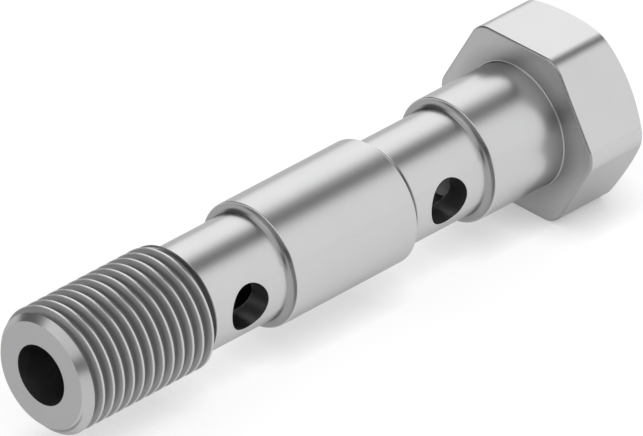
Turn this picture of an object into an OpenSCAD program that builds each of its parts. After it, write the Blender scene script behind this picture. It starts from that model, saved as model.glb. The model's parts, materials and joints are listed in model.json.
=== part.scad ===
// Double banjo bolt, M10 x 1: a hollow bolt that clamps two banjo fittings and feeds both.
// One turned piece. The axis lies along X with the head at +X, and the origin is the point
// where the axis meets the bearing face under the head. A flat of the hexagon faces down.

/* [Head] */
// Width across the flats of the hexagon
across_flats = 14; // [12:0.5:19]
// Height of the head from its bearing face to its end face
head_height = 6; // [4:0.5:9]
// Rounding of the six long edges of the hexagon
hex_corner_r = 1.8; // [0.4:0.1:2.4]
// Diameter of the round end face, where the chamfer starts
end_face_d = 13.3; // [10:0.1:13.3]
// Slope of the chamfer, measured from the end face
end_chamfer_angle = 30; // [15:1:35]

/* [Lands] */
// Diameter of the shank and of the land between the two necks
land_d = 9.95; // [9.5:0.05:10.5]
// Length of the shank, from the bearing face to the inner neck
shank_length = 7.15; // [4:0.05:12]
// Length of the land between the two necks
land_length = 12.3; // [8:0.1:20]
// Fillet where the shank meets the bearing face
bearing_fillet_r = 0.15; // [0.1:0.05:0.4]

/* [Necks] */
// Diameter of both necks, where the fluid runs round inside a banjo
neck_d = 8.5; // [7.6:0.1:8.8]
// Width of each neck along the bolt
neck_width = 8.15; // [6:0.05:10]
// Fillet in the corners of the necks
neck_fillet_r = 0.5; // [0.1:0.05:0.6]

/* [Thread] */
// Diameter over the crests of the thread
thread_d = 9.9; // [9.5:0.05:10.5]
// Length of the threaded end, from its tip to the outer neck
thread_length = 12.95; // [8:0.05:20]
// Length and depth of the 45 degree chamfer at the tip
tip_chamfer = 0.75; // [0.3:0.05:1]

/* [Oilways] */
// Diameter of the blind bore along the axis
bore_d = 4.8; // [4:0.1:5.4]
// How far the bore keeps its full diameter past the inner cross hole
bore_overrun = 1.15; // [0.2:0.05:2]
// Point angle of the drill that made the bore
drill_point_angle = 118; // [90:1:140]
// Diameter of the hole drilled across each neck
cross_hole_d = 3.7; // [2:0.1:4]

/* [Hidden] */
$fn = 128;

// Places along the axis, all measured from the bearing face
shank_end = -shank_length;
inner_neck_end = shank_end - neck_width;
land_end = inner_neck_end - land_length;
outer_neck_end = land_end - neck_width;
tip = outer_neck_end - thread_length;
inner_cross_hole = (shank_end + inner_neck_end) / 2;
outer_cross_hole = (land_end + outer_neck_end) / 2;
bore_end = inner_cross_hole + cross_hole_d / 2 + bore_overrun;

// Cutting bodies run this far past the faces that they cut
clearance = 1;
// How far round corners stand proud of the flats that they run into
crossing = 0.001;
// Radius that clears every corner of the head
outside_r = across_flats;

// A hexagon on its flats, with its corners rounded. Three bars from flat to flat carry the
// corner circles, which stand a hair proud of the flats so that they cross them cleanly.
module rounded_hexagon(width, corner_r) {
    corner_at = (width / 2 - corner_r) / cos(30);
    intersection() {
        rotate(30) circle(d = width / cos(30), $fn = 6);
        union() {
            for (flat = [0:60:120])
                rotate(flat) square([2 * width, corner_at], center = true);
            for (corner = [30:60:330])
                rotate(corner) translate([corner_at, 0]) circle(r = corner_r + crossing);
        }
    }
}

// What a fillet leaves of a square corner at the origin, between the axes +X and +Y
module fillet_corner(r) {
    difference() {
        square(r);
        translate([r, r]) circle(r = r);
    }
}

// Half section of the space round a neck, from one shoulder to the other
module neck_section(from, to) {
    translate([neck_d / 2, from]) difference() {
        square([outside_r, to - from]);
        fillet_corner(neck_fillet_r);
        translate([0, to - from]) mirror([0, 1]) fillet_corner(neck_fillet_r);
    }
}

// Half section of the turned blank under the head
module stem_section() {
    difference() {
        union() {
            polygon([
                [0, tip],
                [thread_d / 2 - tip_chamfer, tip],
                [thread_d / 2, tip + tip_chamfer],
                [thread_d / 2, outer_neck_end],
                [0, outer_neck_end]
            ]);
            translate([0, outer_neck_end]) square([land_d / 2, -outer_neck_end]);
        }
        neck_section(outer_neck_end, land_end);
        neck_section(inner_neck_end, shank_end);
    }
    translate([land_d / 2, 0]) mirror([0, 1]) fillet_corner(bearing_fillet_r);
}

// The hexagon, with its far end turned to a chamfer
module head() {
    chamfer_drop = (outside_r - end_face_d / 2) * tan(end_chamfer_angle);
    intersection() {
        linear_extrude(head_height) rounded_hexagon(across_flats, hex_corner_r);
        rotate_extrude() polygon([
            [0, 0],
            [outside_r, 0],
            [outside_r, head_height - chamfer_drop],
            [end_face_d / 2, head_height],
            [0, head_height]
        ]);
    }
}

// The blind bore, open at the tip, with the cone that its drill leaves
module axial_bore() {
    translate([0, 0, tip - clearance]) cylinder(d = bore_d, h = bore_end - tip + clearance);
    translate([0, 0, bore_end])
        cylinder(d1 = bore_d, d2 = 0, h = bore_d / 2 / tan(drill_point_angle / 2));
}

// A hole drilled right across the neck
module cross_hole(at) {
    translate([0, 0, at]) rotate([90, 0, 0])
        cylinder(d = cross_hole_d, h = neck_d + 2 * clearance, center = true);
}

module banjo_bolt() {
    color([0.74, 0.74, 0.75])
        rotate([0, 90, 0])
            difference() {
                union() {
                    head();
                    rotate_extrude() stem_section();
                }
                axial_bore();
                cross_hole(inner_cross_hole);
                cross_hole(outer_cross_hole);
            }
}

banjo_bolt();
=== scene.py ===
import json
import math

import bmesh
import bpy
from mathutils import Matrix, Vector


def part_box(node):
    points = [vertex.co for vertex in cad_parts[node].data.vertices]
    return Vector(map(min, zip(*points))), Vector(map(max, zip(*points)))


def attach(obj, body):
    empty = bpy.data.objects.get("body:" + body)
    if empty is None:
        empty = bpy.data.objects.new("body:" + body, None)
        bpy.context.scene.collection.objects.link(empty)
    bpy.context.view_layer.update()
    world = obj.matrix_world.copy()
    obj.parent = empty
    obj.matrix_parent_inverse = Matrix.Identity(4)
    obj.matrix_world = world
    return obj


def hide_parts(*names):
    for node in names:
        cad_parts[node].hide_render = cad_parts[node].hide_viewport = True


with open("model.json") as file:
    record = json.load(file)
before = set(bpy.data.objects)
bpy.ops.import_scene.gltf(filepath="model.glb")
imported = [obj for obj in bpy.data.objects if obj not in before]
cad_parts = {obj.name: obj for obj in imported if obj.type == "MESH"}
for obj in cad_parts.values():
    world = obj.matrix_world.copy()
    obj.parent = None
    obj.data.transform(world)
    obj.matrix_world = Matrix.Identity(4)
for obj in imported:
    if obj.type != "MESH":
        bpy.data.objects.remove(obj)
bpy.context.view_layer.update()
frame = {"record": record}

# The bolt lies along X with its head at +X. Its axis meets the bearing face at the origin.
MM = 0.001
low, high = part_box("banjo_bolt")
mounts = {mount["name"]: mount for mount in frame["record"]["mounts"]}


def mount_radius(name):
    return mounts[name]["dims"]["r_mm"] * MM


def mount_length(name):
    return mounts[name]["dims"]["length_mm"] * MM


def mount_x(name):
    return mounts[name]["pos_m"][0]


# Sizes that the frame gives
tip = low.x
head_height = high.x
across_flats = high.z - low.z
land_r = mount_radius("land")
thread_r = mount_radius("thread")
bore_r = mount_radius("axial_bore")
cross_hole_r = mount_radius("inner_cross_hole")
shank_end = -mount_length("shank")
inner_cross_hole = mount_x("inner_cross_hole")
outer_cross_hole = mount_x("outer_cross_hole")
bore_end = tip + mount_length("axial_bore")

# Places along the axis that follow from them, each neck being centred on its cross hole
neck_width = 2 * (shank_end - inner_cross_hole)
inner_neck_end = shank_end - neck_width
land_end = outer_cross_hole + neck_width / 2
outer_neck_end = outer_cross_hole - neck_width / 2

# The necks. The back of the grooving tool leaves the land's inner end sloping, at this angle to
# the axis, with a larger fillet at its foot.
neck_r = 4.25 * MM
neck_fillet = 0.5 * MM
back_fillet = 0.7 * MM
back_deg = 60

# Edges and corners of the stem
bearing_fillet = 0.12 * MM
land_edge_break = 0.1 * MM
tip_chamfer = 0.75 * MM
thread_end_chamfer = 0.25 * MM

# The oilways
drill_point_slope = math.tan(math.radians(59))
neck_hole_break = 0.02 * MM
bore_hole_break = 0.055 * MM
# The edges of the cross holes are found to within this
edge_tolerance = 0.003 * MM

# The head
hex_corner_r = 1.8 * MM
hex_rim_r = 0.16 * MM
end_face_r = 6.65 * MM
end_chamfer_slope = math.tan(math.radians(30))

# The thread is metric, right-handed, with a flat of an eighth of the pitch on its crests. Its
# flanks are a little convex, as a worn tool leaves them.
pitch = 1.0 * MM
thread_depth = 0.6134 * pitch
flank_angle = math.radians(30)
root_rounding = 0.07 * MM
flank_bulge = 0.02 * MM
groove_start = tip - 0.45 * MM
groove_turns = 14
# The tool's flanks go on this far past the crests, and its whole section this far
crest_clearance = 0.03 * MM
tool_clearance = 0.18 * MM

# How finely round forms are divided
turned_sides = 240
hole_sides = 96
hex_corner_steps = 12
hex_rim_steps = 4
fillet_steps = 6
edge_steps = 3
flank_steps = 5
# Edges that turn by more than this are shown sharp
sharp_deg = 24

# Cutting bodies run this far past the faces that they cut
overrun = 1 * MM
# Points nearer to each other than this become one
merge_distance = 0.001 * MM


def arc(centre, radius, start_deg, end_deg, steps=fillet_steps):
    """Points (x, r) on an arc in the half section, from one angle to another."""
    sweep_deg = end_deg - start_deg
    angles = [math.radians(start_deg + sweep_deg * i / steps) for i in range(steps + 1)]
    return [(centre[0] + radius * math.cos(a), centre[1] + radius * math.sin(a)) for a in angles]


def piece_from(work, name):
    """A bmesh as an object at the origin, with its normals outwards."""
    bmesh.ops.recalc_face_normals(work, faces=work.faces)
    mesh = bpy.data.meshes.new(name)
    work.to_mesh(mesh)
    work.free()
    piece = bpy.data.objects.new(name, mesh)
    bpy.context.scene.collection.objects.link(piece)
    return piece


def turned(name, section):
    """A closed body, turned round the X axis from a half section that starts and ends on the axis."""
    work = bmesh.new()
    rim = [work.verts.new((x, r, 0)) for x, r in section]
    edges = [work.edges.new(pair) for pair in zip(rim, rim[1:])]
    bmesh.ops.spin(work, geom=rim + edges, cent=(0, 0, 0), axis=(1, 0, 0),
                   angle=math.tau, steps=turned_sides, use_merge=True)
    bmesh.ops.remove_doubles(work, verts=work.verts, dist=merge_distance)
    return piece_from(work, name)


def combine(body, tool, operation):
    """Cut a tool from the body, join it on, or keep what both share. The tool is used up."""
    step = body.modifiers.new(operation.lower(), "BOOLEAN")
    step.operation = operation
    step.object = tool
    step.solver = "MANIFOLD"
    bpy.context.view_layer.objects.active = body
    bpy.ops.object.modifier_apply(modifier=step.name)
    used = tool.data
    bpy.data.objects.remove(tool)
    bpy.data.meshes.remove(used)


def break_edges(work, edges, size, steps=1):
    """Round the edges, or chamfer them where there is one step."""
    bmesh.ops.bevel(work, geom=edges, offset=size, offset_type="OFFSET",
                    affect="EDGES", segments=steps, profile=0.5, material=-1)


def neck(start, end, start_fillet=neck_fillet, start_deg=180):
    """Half section of one neck, from the shoulder nearer the tip to the one nearer the head."""
    tip_side = (start + start_fillet, neck_r + start_fillet)
    head_side = (end - neck_fillet, neck_r + neck_fillet)
    return arc(tip_side, start_fillet, start_deg, 270) + arc(head_side, neck_fillet, 270, 360)


def stem():
    """The turned stem under the head, with its lands, necks and fillets."""
    edge = land_edge_break
    edge_r = land_r - edge
    inside_head = head_height / 2
    thread_end_r = thread_r - thread_end_chamfer
    slope = math.radians(back_deg)
    slope_height = land_r - neck_r - back_fillet * (1 - math.cos(slope))
    slope_foot = inner_neck_end + back_fillet * math.sin(slope) + slope_height / math.tan(slope)

    section = [
        (tip, 0),
        (tip, thread_r - tip_chamfer),
        (tip + tip_chamfer, thread_r),
        (outer_neck_end, thread_r),
    ]
    section += neck(outer_neck_end + thread_end_chamfer, land_end, thread_end_r - neck_r)
    section += arc((land_end + edge, edge_r), edge, 180, 90, edge_steps)
    edge_x = inner_neck_end - edge * math.tan(slope / 2)
    section += arc((edge_x, edge_r), edge, 90, 90 - back_deg, edge_steps)
    section += neck(slope_foot - back_fillet, shank_end, back_fillet, 270 - back_deg)
    section += arc((shank_end + edge, edge_r), edge, 180, 90, edge_steps)
    section += arc((-bearing_fillet, land_r + bearing_fillet), bearing_fillet, 270, 360)
    section += [
        (inside_head, land_r + bearing_fillet),
        (inside_head, 0),
    ]
    return turned("stem", section)


def head():
    """The hexagon with rounded corners and a rounded rim, chamfered at its far end."""
    work = bmesh.new()
    across_corners = across_flats / math.cos(math.radians(30))
    bmesh.ops.create_circle(work, cap_ends=True, segments=6, radius=across_corners / 2)
    upright = Matrix.Rotation(math.pi / 2, 3, "Y")
    bmesh.ops.rotate(work, verts=work.verts, cent=(0, 0, 0), matrix=upright)
    made = bmesh.ops.extrude_face_region(work, geom=work.faces[:])
    far_end = [item for item in made["geom"] if isinstance(item, bmesh.types.BMVert)]
    bmesh.ops.translate(work, verts=far_end, vec=(head_height, 0, 0))

    corners = [e for e in work.edges if abs(e.verts[0].co.x - e.verts[1].co.x) > head_height / 2]
    break_edges(work, corners, hex_corner_r * math.tan(math.radians(30)), hex_corner_steps)
    rim = [e for e in work.edges if max(abs(v.co.x) for v in e.verts) < hex_rim_r / 10]
    break_edges(work, rim, hex_rim_r, hex_rim_steps)
    hexagon = piece_from(work, "hexagon")

    reach = across_flats
    drop = (reach - end_face_r) * end_chamfer_slope
    chamfer = turned("chamfer", [
        (-overrun, 0),
        (-overrun, reach),
        (head_height - drop, reach),
        (head_height, end_face_r),
        (head_height, 0),
    ])
    combine(hexagon, chamfer, "INTERSECT")
    return hexagon


def axial_bore():
    """The drill that leaves the blind bore, with its point."""
    point = bore_end + bore_r / drill_point_slope
    return turned("drill", [
        (tip - overrun, 0),
        (tip - overrun, bore_r),
        (bore_end, bore_r),
        (point, 0),
    ])


def cross_hole(x):
    """The drill that goes right across a neck, along Y."""
    work = bmesh.new()
    bmesh.ops.create_cone(work, cap_ends=True, segments=hole_sides, radius1=cross_hole_r,
                          radius2=cross_hole_r, depth=2 * (neck_r + overrun))
    across = Matrix.Rotation(math.pi / 2, 3, "X")
    bmesh.ops.rotate(work, verts=work.verts, cent=(0, 0, 0), matrix=across)
    bmesh.ops.translate(work, verts=work.verts, vec=(x, 0, 0))
    return piece_from(work, "cross_drill")


def ease_hole_edges(bolt):
    """Break the edges of the cross holes, outside on the necks and inside where they meet the bore."""
    work = bmesh.new()
    work.from_mesh(bolt.data)

    def on_edge(point, turned_r, hole_x):
        off_surface = abs(math.hypot(point.y, point.z) - turned_r)
        off_hole = abs(math.hypot(point.x - hole_x, point.z) - cross_hole_r)
        return max(off_surface, off_hole) < edge_tolerance

    for turned_r, size in ((neck_r, neck_hole_break), (bore_r, bore_hole_break)):
        for hole_x in (inner_cross_hole, outer_cross_hole):
            rim = [e for e in work.edges if all(on_edge(v.co, turned_r, hole_x) for v in e.verts)]
            break_edges(work, rim, size)
    bmesh.ops.recalc_face_normals(work, faces=work.faces)
    work.to_mesh(bolt.data)
    work.free()


def groove_section():
    """Outline of the thread's groove round its middle, with walls that run past the crests."""
    crest_half = 7 / 16 * pitch
    wall_half = crest_half + crest_clearance * math.tan(flank_angle)
    root_half = crest_half - thread_depth * math.tan(flank_angle)
    root_r = thread_r - thread_depth
    right = [(root_half - root_rounding / 2, root_r)]
    for step in range(flank_steps + 1):
        share = step / flank_steps
        up = root_rounding + share * (thread_depth - root_rounding)
        bulge = 4 * flank_bulge * share * (1 - share)
        x = root_half + up * math.tan(flank_angle) - bulge * math.cos(flank_angle)
        right.append((x, root_r + up + bulge * math.sin(flank_angle)))
    right += [(wall_half, thread_r + crest_clearance), (wall_half, thread_r + tool_clearance)]
    return [(-x, r) for x, r in reversed(right)] + right


def thread_groove():
    """The tool's path: the section of the groove, swept along a right-handed helix round X."""
    work = bmesh.new()
    rim = [work.verts.new((groove_start + x, r, 0)) for x, r in groove_section()]
    edges = [work.edges.new(pair) for pair in zip(rim, rim[1:] + rim[:1])]
    bmesh.ops.spin(work, geom=rim + edges, cent=(0, 0, 0), axis=(1, 0, 0),
                   dvec=(pitch / turned_sides, 0, 0), angle=math.tau, steps=turned_sides)
    one_turn = work.verts[:] + work.edges[:] + work.faces[:]
    for turn in range(1, groove_turns):
        copy = bmesh.ops.duplicate(work, geom=one_turn)
        points = [item for item in copy["geom"] if isinstance(item, bmesh.types.BMVert)]
        bmesh.ops.translate(work, verts=points, vec=(turn * pitch, 0, 0))
    bmesh.ops.remove_doubles(work, verts=work.verts, dist=merge_distance)
    open_ends = [edge for edge in work.edges if edge.is_boundary]
    bmesh.ops.holes_fill(work, edges=open_ends, sides=0)
    return piece_from(work, "groove")


def banjo_bolt():
    """The whole bolt: head and stem in one, drilled and threaded."""
    bolt = head()
    bolt.name = bolt.data.name = "plated_bolt"
    combine(bolt, stem(), "UNION")
    combine(bolt, axial_bore(), "DIFFERENCE")
    for hole_x in (inner_cross_hole, outer_cross_hole):
        combine(bolt, cross_hole(hole_x), "DIFFERENCE")
    ease_hole_edges(bolt)
    combine(bolt, thread_groove(), "DIFFERENCE")
    bolt.data.shade_smooth()
    bolt.data.set_sharp_from_angle(angle=math.radians(sharp_deg))
    flatten = bolt.modifiers.new("flat_faces", "WEIGHTED_NORMAL")
    flatten.keep_sharp = True
    bolt.data.materials.clear()
    bolt.data.materials.append(plated_steel())
    return bolt


class Shader:
    """Short ways to place and join the nodes of one material or world."""

    def __init__(self, owner):
        owner.use_nodes = True
        self.tree = owner.node_tree
        self.tree.nodes.clear()

    def add(self, kind, **settings):
        node = self.tree.nodes.new(kind)
        for name, value in settings.items():
            setattr(node, name, value)
        return node

    def put(self, value, socket):
        """A socket takes another node's output, or a plain value."""
        if isinstance(value, bpy.types.NodeSocket):
            self.tree.links.new(value, socket)
        else:
            socket.default_value = value

    def fill(self, node, **values):
        """Put values on a node's sockets, named with _ for a space."""
        for name, value in values.items():
            self.put(value, node.inputs[name.replace("_", " ")])
        return node

    def math(self, operation, *values):
        node = self.add("ShaderNodeMath", operation=operation)
        for value, socket in zip(values, node.inputs):
            self.put(value, socket)
        return node.outputs["Value"]

    def vector(self, operation, *values, result="Vector"):
        node = self.add("ShaderNodeVectorMath", operation=operation)
        for value, socket in zip(values, node.inputs):
            self.put(value, socket)
        return node.outputs[result]

    def scaled(self, vector, scale):
        node = self.add("ShaderNodeVectorMath", operation="SCALE")
        self.put(vector, node.inputs["Vector"])
        self.put(scale, node.inputs["Scale"])
        return node.outputs["Vector"]

    def part(self, vector, axis):
        return self.fill(self.add("ShaderNodeSeparateXYZ"), Vector=vector).outputs[axis]

    def ramp(self, value, start, end, low_value=0.0, high_value=1.0, kind="LINEAR"):
        """low_value up to start, high_value from end on, and a slope between."""
        node = self.add("ShaderNodeMapRange", interpolation_type=kind)
        self.fill(node, Value=value, From_Min=start, From_Max=end, To_Min=low_value, To_Max=high_value)
        return node.outputs["Result"]

    def blend(self, share, first, second):
        node = self.add("ShaderNodeMix", data_type="FLOAT")
        return self.fill(node, Factor=share, A=first, B=second).outputs["Result"]

    def noise(self, place, scale, detail, roughness):
        node = self.add("ShaderNodeTexNoise")
        self.fill(node, Vector=place, Scale=scale, Detail=detail, Roughness=roughness)
        return node.outputs["Fac"]

    def over(self, value, limit):
        """1 where a value is over a limit, else 0."""
        return self.math("GREATER_THAN", value, limit)

    def under(self, value, limit):
        """1 where a value is under a limit, else 0."""
        return self.math("LESS_THAN", value, limit)

    def near(self, value, target, within):
        """1 where a value is close to a target, else 0."""
        return self.math("COMPARE", value, target, within)

    def all_of(self, mask, *others):
        """1 where every mask is 1."""
        for other in others:
            mask = self.math("MULTIPLY", mask, other)
        return mask

    def any_of(self, mask, *others):
        """1 where one of the masks is 1."""
        for other in others:
            mask = self.math("MAXIMUM", mask, other)
        return mask


# Shades of the plating, from black at 0 to white at 1, with painted shade and a painted highlight
# among them
turned_shade = 0.576
# Painted shade: the chamfer at the tip is darker than the turned lands
tip_cone_painted_shade = 0.48
end_face_shade = 0.40
# Painted shade on the bearing face, darkest by the foot of the shank and lighter towards the rim
bearing_painted_shade_inner = 0.31
bearing_painted_shade_outer = 0.44
# Painted shade on the fillet at the foot of the shank
foot_fillet_painted_shade = 0.33
# Painted shade on the rounded rim of the hexagon, dimming the highlight on that edge
hex_rim_painted_shade = 0.34
# Painted shade in the fillets of the neck corners, deeper on the tip side of each neck
neck_corner_painted_shade = 0.32
back_corner_painted_shade = 0.19
# Painted shade in the groove of the thread, from just under its crests down to the root
groove_painted_shade = 0.30
drilled_shade = 0.40
# Painted highlight where the cross holes meet the bore
painted_highlight_shade = 1.0
plating_tint = (1.0, 1.0, 1.004)
glancing_tint = (0.66, 0.66, 0.66, 1)

# Roughness of its finishes, from a mirror at 0 to chalk at 1
turned_roughness = 0.265
faced_roughness = 0.40
groove_roughness = 0.50
drilled_roughness = 0.35
hole_junction_roughness = 0.60

# The plating is a little uneven, in clouds and in a fine grain, and the tool has left rings
clouds_per_mm = 0.35
grains_per_mm = 9.0
rings_per_mm = 5.0
shade_spread = 0.015
roughness_spread = 0.004
relief_height = 0.004 * MM
relief_strength = 0.02

# How far the finishes reach past the flat faces and the round walls that they follow
face_reach = 0.01 * MM
wall_reach = 0.05 * MM
# How deep in the groove of the thread its rougher finish and painted shade start, how deep the finish
# is full, and how deep the painted shade is at its darkest
groove_start_depth = 0.01 * MM
groove_full_depth = 0.04 * MM
painted_shade_full_depth = 0.08 * MM
# How far out from the necks the painted shade of their corners starts and is full, and how far
# under the lands it begins to fade and ends
corner_start = 0.001 * MM
corner_full = 0.012 * MM
corner_fade = 0.12 * MM
corner_end = 0.04 * MM
# The tip side of the necks, from its middle both ways, where the corners' painted shade is deeper
back_middle = 0.6 * MM
back_reach = 0.7 * MM
# How far out from the shank the painted shade on its foot starts and is full, and how it fades on
# the bearing face
foot_start = 0.003 * MM
foot_full = 0.02 * MM
foot_fade = 0.03 * MM
# What lies deeper in the necks than this was drilled
skin = 0.03 * MM

# Radii where the foot of the shank meets the bearing face, and where that face nears its rim. The
# painted shade on that face lightens between them
foot_r = land_r + bearing_fillet
bearing_rim_r = across_flats / 2 - 0.5 * MM


def groove_depth(s, x, radius):
    """How deep a place lies under the turned form of the threaded end, chamfer and all."""
    tip_cone_r = s.math("ADD", x, thread_r - tip_chamfer - tip)
    return s.math("SUBTRACT", s.math("MINIMUM", tip_cone_r, thread_r), radius)


def in_groove(s, x, radius, depth):
    """The groove of the thread, from the edges of its crests down to its root."""
    return s.all_of(
        s.ramp(depth, groove_start_depth, groove_full_depth),
        s.over(radius, thread_r - thread_depth - wall_reach),
        s.under(x, outer_neck_end),
    )


def in_neck_corners(s, x, radius):
    """The fillets in the corners of the necks, which get painted shade."""
    return s.all_of(
        s.ramp(radius, neck_r + corner_start, neck_r + corner_full),
        s.ramp(radius, land_r - corner_fade, land_r - corner_end, 1.0, 0.0),
        s.over(x, outer_neck_end + wall_reach),
        s.under(x, shank_end + face_reach),
    )


def at_neck_backs(s, x):
    """The ends of the necks nearer the tip, which the back of the tool has cut, where the corners get
    deeper painted shade.
    """
    return s.any_of(
        s.near(x, inner_neck_end + back_middle, back_reach),
        s.near(x, outer_neck_end + back_middle, back_reach),
    )


def on_bearing_face(s, x, radius):
    """The ring under the head, outside the foot of the shank."""
    return s.all_of(s.near(x, 0.0, face_reach), s.over(radius, foot_r - 2 * face_reach))


def on_end_faces(s, x):
    """Both ends of the bolt."""
    return s.any_of(s.near(x, tip, face_reach), s.near(x, head_height, face_reach))


def on_foot_fillet(s, x, radius):
    """The fillet between the shank and the bearing face, which gets painted shade."""
    half = bearing_fillet / 2
    return s.all_of(
        s.ramp(radius, land_r + foot_start, land_r + foot_full),
        s.ramp(radius, foot_r, foot_r + foot_fade, 1.0, 0.0),
        s.near(x, -half, half + face_reach),
    )


def on_hex_rim(s, x, radius):
    """The rounded rim of the hexagon, next to the bearing face, which gets painted shade."""
    half = hex_rim_r / 2
    return s.all_of(s.near(x, half, half - face_reach / 2), s.over(radius, bearing_rim_r))


def in_drilled_holes(s, x, radius):
    """The walls of the bore and of the cross holes, under the skin of the necks."""
    return s.all_of(s.under(radius, neck_r - skin), s.over(x, tip + 2 * face_reach))


def on_hole_junctions(s, place, radius):
    """The edges where the cross holes meet the bore, which get a painted highlight."""
    on_hole_walls = []
    for hole_x in (inner_cross_hole, outer_cross_hole):
        across = s.vector("SUBTRACT", s.vector("MULTIPLY", place, (1, 0, 1)), (hole_x, 0, 0))
        from_hole = s.vector("LENGTH", across, result="Value")
        on_hole_walls.append(s.near(from_hole, cross_hole_r, wall_reach))
    return s.all_of(s.near(radius, bore_r, wall_reach), s.any_of(*on_hole_walls))


def plated_steel():
    """Satin plated steel: turned lands, duller faced ends and darker bores, with painted shade and a
    painted highlight in places.
    """
    material = bpy.data.materials.new("plated_steel")
    s = Shader(material)
    metal = s.fill(s.add("ShaderNodeBsdfPrincipled"), Metallic=1, Specular_Tint=glancing_tint)
    s.fill(s.add("ShaderNodeOutputMaterial"), Surface=metal.outputs["BSDF"])

    # Places on the bolt: along its axis and out from it
    place = s.add("ShaderNodeTexCoord").outputs["Object"]
    x = s.part(place, "X")
    radius = s.vector("LENGTH", s.vector("MULTIPLY", place, (0, 1, 1)), result="Value")

    depth = groove_depth(s, x, radius)
    groove = in_groove(s, x, radius, depth)
    bearing_face = on_bearing_face(s, x, radius)
    faced = s.any_of(bearing_face, on_end_faces(s, x))
    drilled = in_drilled_holes(s, x, radius)
    hole_junction_highlight = on_hole_junctions(s, place, radius)

    # The tool's rings follow the axis and the radius, which the grain and the clouds don't
    place_mm = s.scaled(place, 1 / MM)
    turned_place = s.fill(s.add("ShaderNodeCombineXYZ"), X=x, Y=radius).outputs["Vector"]
    turned_mm = s.scaled(turned_place, 1 / MM)
    rings = s.noise(turned_mm, rings_per_mm, detail=3.0, roughness=0.7)
    grain = s.noise(place_mm, grains_per_mm, detail=3.0, roughness=0.65)
    clouds = s.noise(place_mm, clouds_per_mm, detail=2.0, roughness=0.5)

    # Painted shade on the bearing face, darkest by the foot of the shank
    bearing_face_painted_shade = s.ramp(radius, foot_r, bearing_rim_r, bearing_painted_shade_inner, bearing_painted_shade_outer)
    # Painted shade in the neck corners, deeper on their tip side
    corner_painted_shade = s.blend(at_neck_backs(s, x), neck_corner_painted_shade, back_corner_painted_shade)
    # Painted shade in the groove of the thread, full from just under its crests
    painted_groove_mask = s.all_of(groove, s.ramp(depth, groove_start_depth, painted_shade_full_depth))
    # Painted shade on the chamfer at the tip
    tip_cone = s.under(x, tip + tip_chamfer - 2 * face_reach)
    shade = s.blend(tip_cone, turned_shade, tip_cone_painted_shade)
    shade = s.blend(faced, shade, s.blend(bearing_face, end_face_shade, bearing_face_painted_shade))
    # Painted shade on the hex rim, in the neck corners, on the foot fillet and in the thread groove
    shade = s.blend(on_hex_rim(s, x, radius), shade, hex_rim_painted_shade)
    shade = s.blend(in_neck_corners(s, x, radius), shade, corner_painted_shade)
    shade = s.blend(on_foot_fillet(s, x, radius), shade, foot_fillet_painted_shade)
    shade = s.blend(painted_groove_mask, shade, groove_painted_shade)
    shade = s.blend(drilled, shade, drilled_shade)
    # Painted highlight where the cross holes meet the bore
    shade = s.blend(hole_junction_highlight, shade, painted_highlight_shade)
    # Clouds with some grain in them run from about 0.5 to 1.1, and the grain from 0.3 to 0.7
    unevenness = s.math("MULTIPLY_ADD", grain, 0.6, clouds)
    varied = s.ramp(unevenness, 0.5, 1.1, 1 - shade_spread, 1 + shade_spread)
    shade = s.math("MULTIPLY", shade, varied)

    rough = s.blend(faced, turned_roughness, faced_roughness)
    rough = s.blend(groove, rough, groove_roughness)
    rough = s.blend(drilled, rough, drilled_roughness)
    rough = s.blend(hole_junction_highlight, rough, hole_junction_roughness)
    rough = s.math("ADD", rough, s.ramp(grain, 0.3, 0.7, -roughness_spread, roughness_spread))

    relief = s.fill(s.add("ShaderNodeBump"), Strength=relief_strength, Distance=relief_height,
                    Height=s.math("MULTIPLY_ADD", grain, 0.8, rings))
    s.fill(metal, Base_Color=s.scaled(plating_tint, shade), Roughness=rough,
           Normal=relief.outputs["Normal"])
    return material


def direction(azimuth_deg, elevation_deg):
    """A unit vector, with azimuth 0 towards +X and 90 towards +Y."""
    a, e = math.radians(azimuth_deg), math.radians(elevation_deg)
    return Vector((math.cos(a) * math.cos(e), math.sin(a) * math.cos(e), math.sin(e)))


# Softboxes of the studio: azimuth, elevation, half width of the bright part, of the soft edge, level
softboxes = (
    (28.6, 20.1, 26.6, 32.6, 1.39),
    (-60.0, 19.8, 31.9, 53.2, 0.93),
    (-167.0, 59.6, 38.3, 45.0, 0.86),
    (152.0, 13.0, 14.0, 32.0, 0.8),
)
studio_level = 0.15
# Past the edge of the floor the room is white up to the first elevation, and dim from the second
white_to_deg = 2
dim_from_deg = 5


def studio():
    """A dim room with soft lights round the bolt, and white where the floor runs out."""
    world = bpy.data.worlds.new("studio")
    bpy.context.scene.world = world
    s = Shader(world)
    towards = s.add("ShaderNodeTexCoord").outputs["Generated"]
    level = studio_level
    for azimuth, elevation, bright_deg, edge_deg, strength in softboxes:
        facing_box = s.vector("DOT_PRODUCT", towards, direction(azimuth, elevation), result="Value")
        edge = math.cos(math.radians(edge_deg))
        bright = math.cos(math.radians(bright_deg))
        box = s.ramp(facing_box, edge, bright, 0.0, strength, kind="SMOOTHSTEP")
        level = s.math("ADD", box, level)
    white_top = math.sin(math.radians(white_to_deg))
    dim_bottom = math.sin(math.radians(dim_from_deg))
    in_room = s.ramp(s.part(towards, "Z"), white_top, dim_bottom, kind="SMOOTHSTEP")
    background = s.fill(s.add("ShaderNodeBackground"), Color=(1, 1, 1, 1))
    s.fill(background, Strength=s.blend(in_room, 1.0, level))
    s.fill(s.add("ShaderNodeOutputWorld"), Surface=background.outputs["Background"])


floor_radius = 20
floor_sides = 64
floor_paint = (0.8, 0.8, 0.8, 1)
# What is seen of the floor: darker paint, and a glow that fades where the bolt hides the sky
shown_paint = (0.35, 0.35, 0.35, 1)
glow_in_shadow = 0.28
glow_in_open = 0.76
shadow_reach = 3.2 * MM
floor_gap = 0.005 * MM


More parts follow.
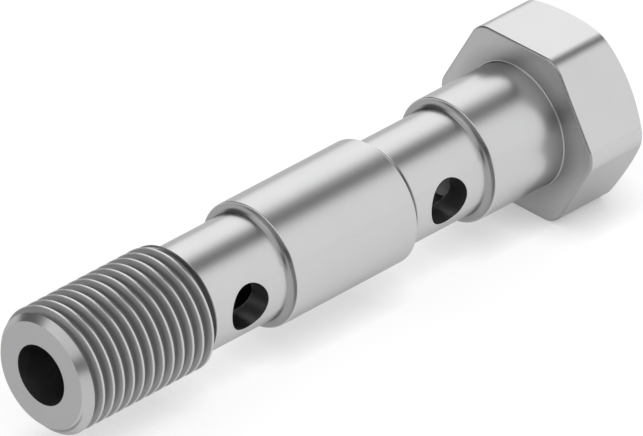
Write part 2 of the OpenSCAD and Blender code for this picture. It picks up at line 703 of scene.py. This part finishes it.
def pale_paint():
    """Plain pale paint, which seen by the camera or in the metal is white but for the shadow."""
    material = bpy.data.materials.new("white_floor")
    s = Shader(material)
    paint = s.fill(s.add("ShaderNodeBsdfDiffuse"), Color=floor_paint)
    shown = s.fill(s.add("ShaderNodeBsdfDiffuse"), Color=shown_paint)
    open_sky = s.fill(s.add("ShaderNodeAmbientOcclusion", samples=8), Distance=shadow_reach)
    strength = s.ramp(open_sky.outputs["AO"], 0, 1, glow_in_shadow, glow_in_open)
    glow = s.fill(s.add("ShaderNodeEmission"), Strength=strength)
    lit = s.add("ShaderNodeAddShader")
    s.put(shown.outputs["BSDF"], lit.inputs[0])
    s.put(glow.outputs["Emission"], lit.inputs[1])
    rays = s.add("ShaderNodeLightPath").outputs
    seen = s.any_of(rays["Is Camera Ray"], rays["Is Glossy Ray"], rays["Is Transmission Ray"])
    mix = s.fill(s.add("ShaderNodeMixShader"), Fac=seen)
    s.put(paint.outputs["BSDF"], mix.inputs[1])
    s.put(lit.outputs["Shader"], mix.inputs[2])
    s.fill(s.add("ShaderNodeOutputMaterial"), Surface=mix.outputs["Shader"])
    return material


def white_floor():
    """A pale floor that keeps the bolt's shadow, just under its lowest flat."""
    work = bmesh.new()
    bmesh.ops.create_circle(work, cap_ends=True, segments=floor_sides, radius=floor_radius)
    bmesh.ops.translate(work, verts=work.verts, vec=(0, 0, low.z - floor_gap))
    floor = piece_from(work, "floor")
    floor.data.materials.append(pale_paint())


# The camera looks along this heading and down this far, from well away
view_heading = math.radians(44.801)
view_down = math.radians(31.975)
view_roll = math.radians(-0.118)
view_distance = 1197.46 * MM
# Where the origin of the bolt lies in the picture, right of and above its middle
origin_right = 14.33 * MM
origin_up = 6.92 * MM
lens_mm = 908.9
sensor_mm = 36
clip_ratio = 100


def camera():
    """A long lens at the photograph's angle."""
    data = bpy.data.cameras.new("camera")
    data.sensor_width = sensor_mm
    data.lens = lens_mm
    data.clip_start = view_distance / clip_ratio
    data.clip_end = view_distance * clip_ratio
    eye = bpy.data.objects.new("camera", data)
    bpy.context.scene.collection.objects.link(eye)
    turn = (Matrix.Rotation(-view_heading, 4, "Z") @ Matrix.Rotation(math.pi / 2 - view_down, 4, "X")
            @ Matrix.Rotation(view_roll, 4, "Z"))
    place = turn @ Vector((-origin_right, -origin_up, view_distance))
    eye.matrix_world = Matrix.Translation(place) @ turn
    bpy.context.scene.camera = eye


bpy.context.scene.view_settings.view_transform = "Standard"
camera()
studio()
white_floor()
bolt = banjo_bolt()
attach(bolt, "root")
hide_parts("banjo_bolt")
